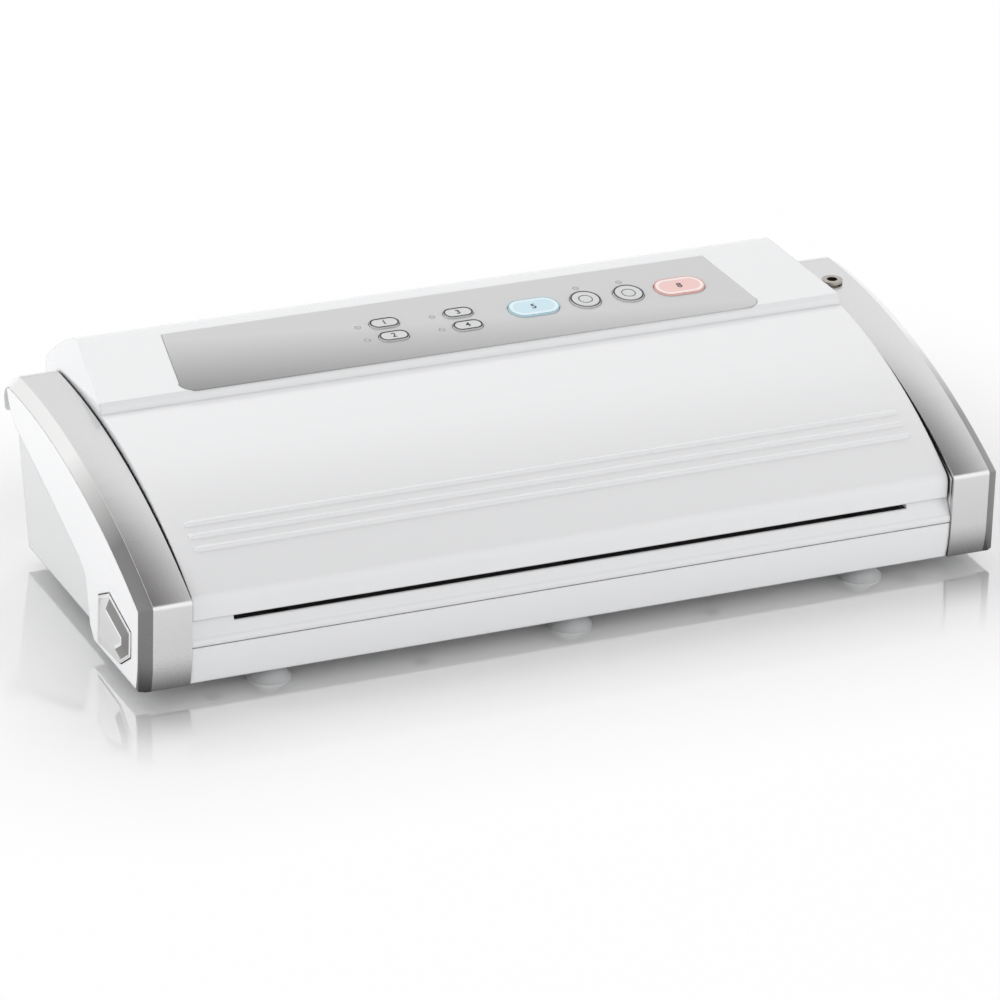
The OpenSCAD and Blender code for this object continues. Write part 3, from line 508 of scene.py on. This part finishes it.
def slopeBorder(piece, recipe):
    # a border all round the pressed face slopes back to the end cover
    near = copySetup["near"] * mm
    drop = recipe["drop"] * mm
    reach = max(abs(point.co.x) for point in piece.data.vertices)
    bpy.ops.object.mode_set(mode="EDIT")
    bpy.ops.mesh.select_mode(type="FACE")
    bpy.ops.mesh.select_all(action="DESELECT")
    bpy.ops.object.mode_set(mode="OBJECT")
    for face in piece.data.polygons:
        face.select = abs(face.normal.x) > copySetup["facing"] and abs(abs(face.center.x) - reach) < near
    bpy.ops.object.mode_set(mode="EDIT")
    bpy.ops.mesh.inset(thickness=recipe["border"] * mm, use_even_offset=True)
    bpy.ops.mesh.select_mode(type="VERT")
    bpy.ops.object.mode_set(mode="OBJECT")
    for point in piece.data.vertices:
        if abs(abs(point.co.x) - reach) < near and not point.select:
            point.co.x -= math.copysign(drop, point.co.x)
    bpy.ops.object.mode_set(mode="EDIT")
    bpy.ops.mesh.select_mode(type="FACE")
    bpy.ops.mesh.inset(thickness=recipe["highlightLineWidth"] * mm, use_even_offset=True)
    bpy.ops.object.mode_set(mode="OBJECT")
    # painted shade on the border where it looks up and to the front, with a painted highlight line along its inner
    # edge
    piece.data.materials.append(paintedShadeSilver)
    piece.data.materials.append(paintedHighlightSilver)
    middle = [face.center.copy() for face in piece.data.polygons if face.select][0]
    for face in piece.data.polygons:
        spoke = (face.center - middle).normalized()
        turned = copySetup["shadeUp"] * spoke.z - spoke.y >= copySetup["shadeFrom"]
        if turned and not face.select and abs(face.center.x) >= reach - drop:
            # painted highlight on the flat ring, painted shade on the sloped border
            face.material_index = 2 if abs(face.normal.x) > copySetup["facing"] else 1


def roundedCopy(name, recipe):
    pickOnly(nodes[recipe["node"]])
    bpy.ops.object.duplicate(linked=False)
    piece = bpy.context.object
    piece.name = name
    piece.data.name = name
    bpy.ops.object.mode_set(mode="EDIT")
    bpy.ops.mesh.select_all(action="SELECT")
    bpy.ops.mesh.remove_doubles(threshold=copySetup["merge"] * mm)
    bpy.ops.mesh.dissolve_limited(angle_limit=math.radians(copySetup["flat"]))
    bpy.ops.mesh.normals_make_consistent(inside=False)
    bpy.ops.mesh.select_all(action="DESELECT")
    bpy.ops.object.mode_set(mode="OBJECT")
    if "border" in recipe:
        slopeBorder(piece, recipe)
    rounding = piece.modifiers.new("softEdges", "BEVEL")
    rounding.width = recipe["round"] * mm
    rounding.segments = copySetup["segments"]
    rounding.limit_method = "ANGLE"
    rounding.angle_limit = math.radians(copySetup["edge"])
    bpy.ops.object.modifier_apply(modifier="softEdges")
    bpy.ops.object.shade_smooth_by_angle(angle=math.radians(copySetup["smooth"]))
    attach(piece, recipe["body"])
    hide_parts(recipe["node"])


for name, recipe in roundedPieces.items():
    roundedCopy(name, recipe)
print("straps and buttons rounded")

faceSetup = {
    "tilt": 7.8,
    "foot": (0, 25.0, 91.3),  # mm, middle of the face's lower edge
    "keyTop": 0.8,  # mm over the face
    "inkThickness": 0.05,
    "letterWeight": 0.08,
    "ringPoints": 64,
    "middle": 0.0001,  # mm, below which a ring's point is on its middle line
}


def onFace(across, up, lift):
    tilt = math.radians(faceSetup["tilt"])
    foot = Vector(faceSetup["foot"])
    along = Vector((0, math.cos(tilt), math.sin(tilt)))
    out = Vector((0, -math.sin(tilt), math.cos(tilt)))
    spot = foot + Vector((across, 0, 0)) + along * up + out * lift
    return Matrix.Translation(spot * mm) @ Matrix.Rotation(tilt, 4, "X")


def outline(spot, width, height, line, material):
    # a line with round ends about a key: an open ring that is stretched in the middle and given its thickness
    clearSelection()
    bpy.ops.mesh.primitive_circle_add(vertices=faceSetup["ringPoints"], radius=height / 2 * mm, fill_type="NOTHING")
    ring = bpy.context.object
    stretch = (width - height) / 2 * mm
    for point in ring.data.vertices:
        if abs(point.co.x) > faceSetup["middle"] * mm:
            point.co.x += math.copysign(stretch, point.co.x)
    bpy.ops.object.mode_set(mode="EDIT")
    bpy.ops.mesh.select_mode(type="VERT")
    bpy.ops.mesh.select_all(action="SELECT")
    bpy.ops.mesh.extrude_region_move(TRANSFORM_OT_translate={"value": (0, 0, 0)})
    bpy.ops.object.mode_set(mode="OBJECT")
    for point in ring.data.vertices:
        if point.select:
            core = math.copysign(stretch, point.co.x) if width > height else 0.0
            inward = point.co.x - core if abs(point.co.x) > abs(core) else 0.0
            point.co += Vector((inward, point.co.y, 0)).normalized() * -line * mm
    bpy.ops.object.mode_set(mode="EDIT")
    bpy.ops.mesh.select_all(action="SELECT")
    bpy.ops.mesh.normals_make_consistent(inside=False)
    bpy.ops.object.mode_set(mode="OBJECT")
    thickness = ring.modifiers.new("inkHeight", "SOLIDIFY")
    thickness.thickness = faceSetup["inkThickness"] * mm
    thickness.offset = 0
    bpy.ops.object.modifier_apply(modifier="inkHeight")
    ring.matrix_world = onFace(*spot, faceSetup["keyTop"] + faceSetup["inkThickness"] / 2)
    settle(ring)
    ring.data.materials.append(material)
    return ring


def numeral(spot, text, size):
    clearSelection()
    bpy.ops.object.text_add()
    label = bpy.context.object
    label.data.body = text
    label.data.size = size * mm
    label.data.align_x = "CENTER"
    label.data.align_y = "CENTER"
    label.data.extrude = faceSetup["inkThickness"] / 2 * mm
    label.data.offset = faceSetup["letterWeight"] * mm
    bpy.ops.object.convert(target="MESH")
    label = bpy.context.object
    label.matrix_world = onFace(*spot, faceSetup["keyTop"] + faceSetup["inkThickness"] / 2)
    settle(label)
    label.data.materials.clear()
    label.data.materials.append(ink)
    return label


# each line: width, height, thickness in mm, and its finish
smallLines = [(14.3, 7.8, 0.85, ink)]
blueLines = [(24.7, 14.1, 0.4, tealInk), (23.9, 13.3, 1.7, paleBlue)]
pinkLines = [(24.7, 14.1, 0.4, redInk), (23.9, 13.3, 1.7, palePink)]
roundLines = [(14.5, 14.5, 0.8, ink), (6.8, 6.8, 0.4, ink)]
keyPrints = {
    "key_slow": {"spot": (-33.8, 31.4), "lines": smallLines, "number": "1", "size": 4.8, "slot": "key_silver"},
    "key_normal": {"spot": (-33.8, 19.6), "lines": smallLines, "number": "2", "size": 4.8, "slot": "key_silver"},
    "key_dry": {"spot": (3, 31), "lines": smallLines, "number": "3", "size": 4.8, "slot": "key_silver"},
    "key_humid": {"spot": (3, 19.3), "lines": smallLines, "number": "4", "size": 4.8, "slot": "key_silver"},
    "key_vacuum_seal": {"spot": (39.3, 26.4), "lines": blueLines, "number": "5", "size": 5.4, "slot": "key_blue"},
    "key_manual_seal": {"spot": (113.8, 26), "lines": pinkLines, "number": "8", "size": 5.4, "slot": "key_pink"},
    "key_pulse": {"spot": (65.6, 26.2), "lines": roundLines, "slot": "key_silver"},
    "key_marinate": {"spot": (87.6, 26.1), "lines": roundLines, "slot": "key_silver"},
}

for name, recipe in keyPrints.items():
    marks = [outline(recipe["spot"], *line) for line in recipe["lines"]]
    if "number" in recipe:
        marks.append(numeral(recipe["spot"], recipe["number"], recipe["size"]))
    printed = joinAll(marks, "print_" + name)
    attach(printed, name + "_body")
print("key print done")


floorSetup = {
    "size": 9,  # m
    "matt": (0.9, 0.9, 0.905),
    "page": (0.0, 0.97),  # share of plain white that the camera sees, beside the machine and away from it
    "mirror": 0.55,  # strength of the reflection beside the machine
    "tint": (0.84, 0.84, 0.84),
    "roughness": 0.07,
    "fade": 0.078,  # m, where the reflection ends
    "shadow": 0.16,  # m, where the shadow ends
    "half": (0.2, 0.085, 0),  # m, half size of the machine's outline
}


def addFloor():
    clearSelection()
    bpy.ops.mesh.primitive_plane_add(size=floorSetup["size"], location=(0, 0, 0))
    floor = bpy.context.object
    floor.name = "studioFloor"
    settle(floor)
    material = bpy.data.materials.new("paleFloor")
    material.use_nodes = True
    tree = material.node_tree
    tree.nodes.clear()
    out = addNode(tree, "ShaderNodeOutputMaterial")
    matt = addNode(tree, "ShaderNodeBsdfDiffuse")
    matt.inputs["Color"].default_value = (*floorSetup["matt"], 1)
    shine = addNode(tree, "ShaderNodeBsdfGlossy")
    shine.inputs["Roughness"].default_value = floorSetup["roughness"]
    shine.inputs["Color"].default_value = (*floorSetup["tint"], 1)
    paper = addNode(tree, "ShaderNodeEmission")
    # shadow and reflection fade with the distance from the machine
    spread = addNode(tree, "ShaderNodeVectorMath", operation="ABSOLUTE")
    tree.links.new(objectPoint(tree), spread.inputs[0])
    beyond = addNode(tree, "ShaderNodeVectorMath", operation="SUBTRACT")
    beyond.inputs[1].default_value = floorSetup["half"]
    tree.links.new(spread.outputs[0], beyond.inputs[0])
    outside = addNode(tree, "ShaderNodeVectorMath", operation="MAXIMUM")
    outside.inputs[1].default_value = (0, 0, 0)
    tree.links.new(beyond.outputs[0], outside.inputs[0])
    away = addNode(tree, "ShaderNodeVectorMath", operation="LENGTH")
    tree.links.new(outside.outputs[0], away.inputs[0])
    distance = away.outputs["Value"]
    paths = addNode(tree, "ShaderNodeLightPath")
    seen = linkMath(tree, "MAXIMUM", paths.outputs["Is Camera Ray"], paths.outputs["Is Glossy Ray"])
    near, far = floorSetup["page"]
    page = linkRange(tree, distance, {"From Max": floorSetup["shadow"], "To Min": near, "To Max": far}, "SMOOTHSTEP")
    base = addNode(tree, "ShaderNodeMixShader")
    tree.links.new(linkMath(tree, "MULTIPLY", seen, page), base.inputs[0])
    tree.links.new(matt.outputs[0], base.inputs[1])
    tree.links.new(paper.outputs[0], base.inputs[2])
    fadeSpans = {"From Max": floorSetup["fade"], "To Min": floorSetup["mirror"], "To Max": 0.0}
    mirror = addNode(tree, "ShaderNodeMixShader")
    tree.links.new(linkRange(tree, distance, fadeSpans, "SMOOTHSTEP"), mirror.inputs[0])
    tree.links.new(base.outputs[0], mirror.inputs[1])
    tree.links.new(shine.outputs[0], mirror.inputs[2])
    tree.links.new(mirror.outputs[0], out.inputs[0])
    floor.data.materials.append(material)


roomSetup = {
    # tones from straight down to straight up, as height on a unit sphere and grey
    "tones": [(0.0, 0.95), (0.5, 1.0), (0.9, 1.1), (0.95, 0.4), (0.978, 0.1), (1.0, 0.08)],
    "warmBelow": 0.6,  # darker tones are slightly warm
    "warmth": (1.0, 0.96, 0.95),
    "mattShare": 0.56,  # what matt surfaces get of it
    "window": (0.35, -0.94, 0),  # the brighter side, in front and to the right
    "windowSpan": (0.92, 1.3),
}


def addWorld():
    world = bpy.data.worlds.new("studioWorld")
    bpy.context.scene.world = world
    world.use_nodes = True
    tree = world.node_tree
    tree.nodes.clear()
    out = addNode(tree, "ShaderNodeOutputWorld")
    room = addNode(tree, "ShaderNodeBackground")
    page = addNode(tree, "ShaderNodeBackground")
    page.inputs["Color"].default_value = (1, 1, 1, 1)
    page.inputs["Strength"].default_value = 1.0
    paths = addNode(tree, "ShaderNodeLightPath")
    coordinates = addNode(tree, "ShaderNodeTexCoord")
    # reflections see the room in full, matt surfaces get the softer share
    mattSpans = {"To Min": 1.0, "To Max": roomSetup["mattShare"]}
    strength = linkRange(tree, paths.outputs["Is Diffuse Ray"], mattSpans)
    window = addNode(tree, "ShaderNodeVectorMath", operation="DOT_PRODUCT")
    window.inputs[1].default_value = roomSetup["window"]
    tree.links.new(coordinates.outputs["Generated"], window.inputs[0])
    dim, bright = roomSetup["windowSpan"]
    side = linkRange(tree, window.outputs["Value"], {"From Min": -1.0, "To Min": dim, "To Max": bright})
    tree.links.new(linkMath(tree, "MULTIPLY", strength, side), room.inputs["Strength"])
    ramp = addNode(tree, "ShaderNodeValToRGB")
    stops = []
    for position, grey in roomSetup["tones"]:
        tint = roomSetup["warmth"] if grey < roomSetup["warmBelow"] else (1.0, 1.0, 1.0)
        stops.append((position, tuple(grey * part for part in tint)))
    setStops(ramp, stops)
    height = linkAxes(tree, coordinates.outputs["Generated"])[2]
    tree.links.new(linkRange(tree, height, {"From Min": -1.0}), ramp.inputs["Fac"])
    tree.links.new(ramp.outputs["Color"], room.inputs["Color"])
    mix = addNode(tree, "ShaderNodeMixShader")
    tree.links.new(paths.outputs["Is Camera Ray"], mix.inputs[0])
    tree.links.new(room.outputs[0], mix.inputs[1])
    tree.links.new(page.outputs[0], mix.inputs[2])
    tree.links.new(mix.outputs[0], out.inputs[0])


# places and sizes in metres; no lamp shows in reflections
studioLamps = {
    "topSoftbox": {"spot": (0.1, 1.2, 1.6), "aim": (0, 0, 0.05), "size": (2.4, 1.2), "power": 16},
    "rightWindow": {"spot": (1.5, -1.5, 0.55), "aim": (0.1, 0, 0.05), "size": (1.0, 0.8), "power": 9.5},
    "leftWindow": {"spot": (-1.9, 0.15, 0.8), "aim": (0, 0, 0.05), "size": (1.2, 1.0), "power": 14},
}


def addLamps():
    for name, lamp in studioLamps.items():
        clearSelection()
        bpy.ops.object.light_add(type="AREA", location=lamp["spot"])
        made = bpy.context.object
        made.name = name
        made.data.shape = "RECTANGLE"
        made.data.size, made.data.size_y = lamp["size"]
        made.data.energy = lamp["power"]
        made.visible_glossy = False
        towards = Vector(lamp["aim"]) - Vector(lamp["spot"])
        made.rotation_euler = towards.to_track_quat("-Z", "Y").to_euler()


addFloor()
addWorld()
addLamps()
bpy.context.scene.view_settings.view_transform = "Standard"
print("studio ready")
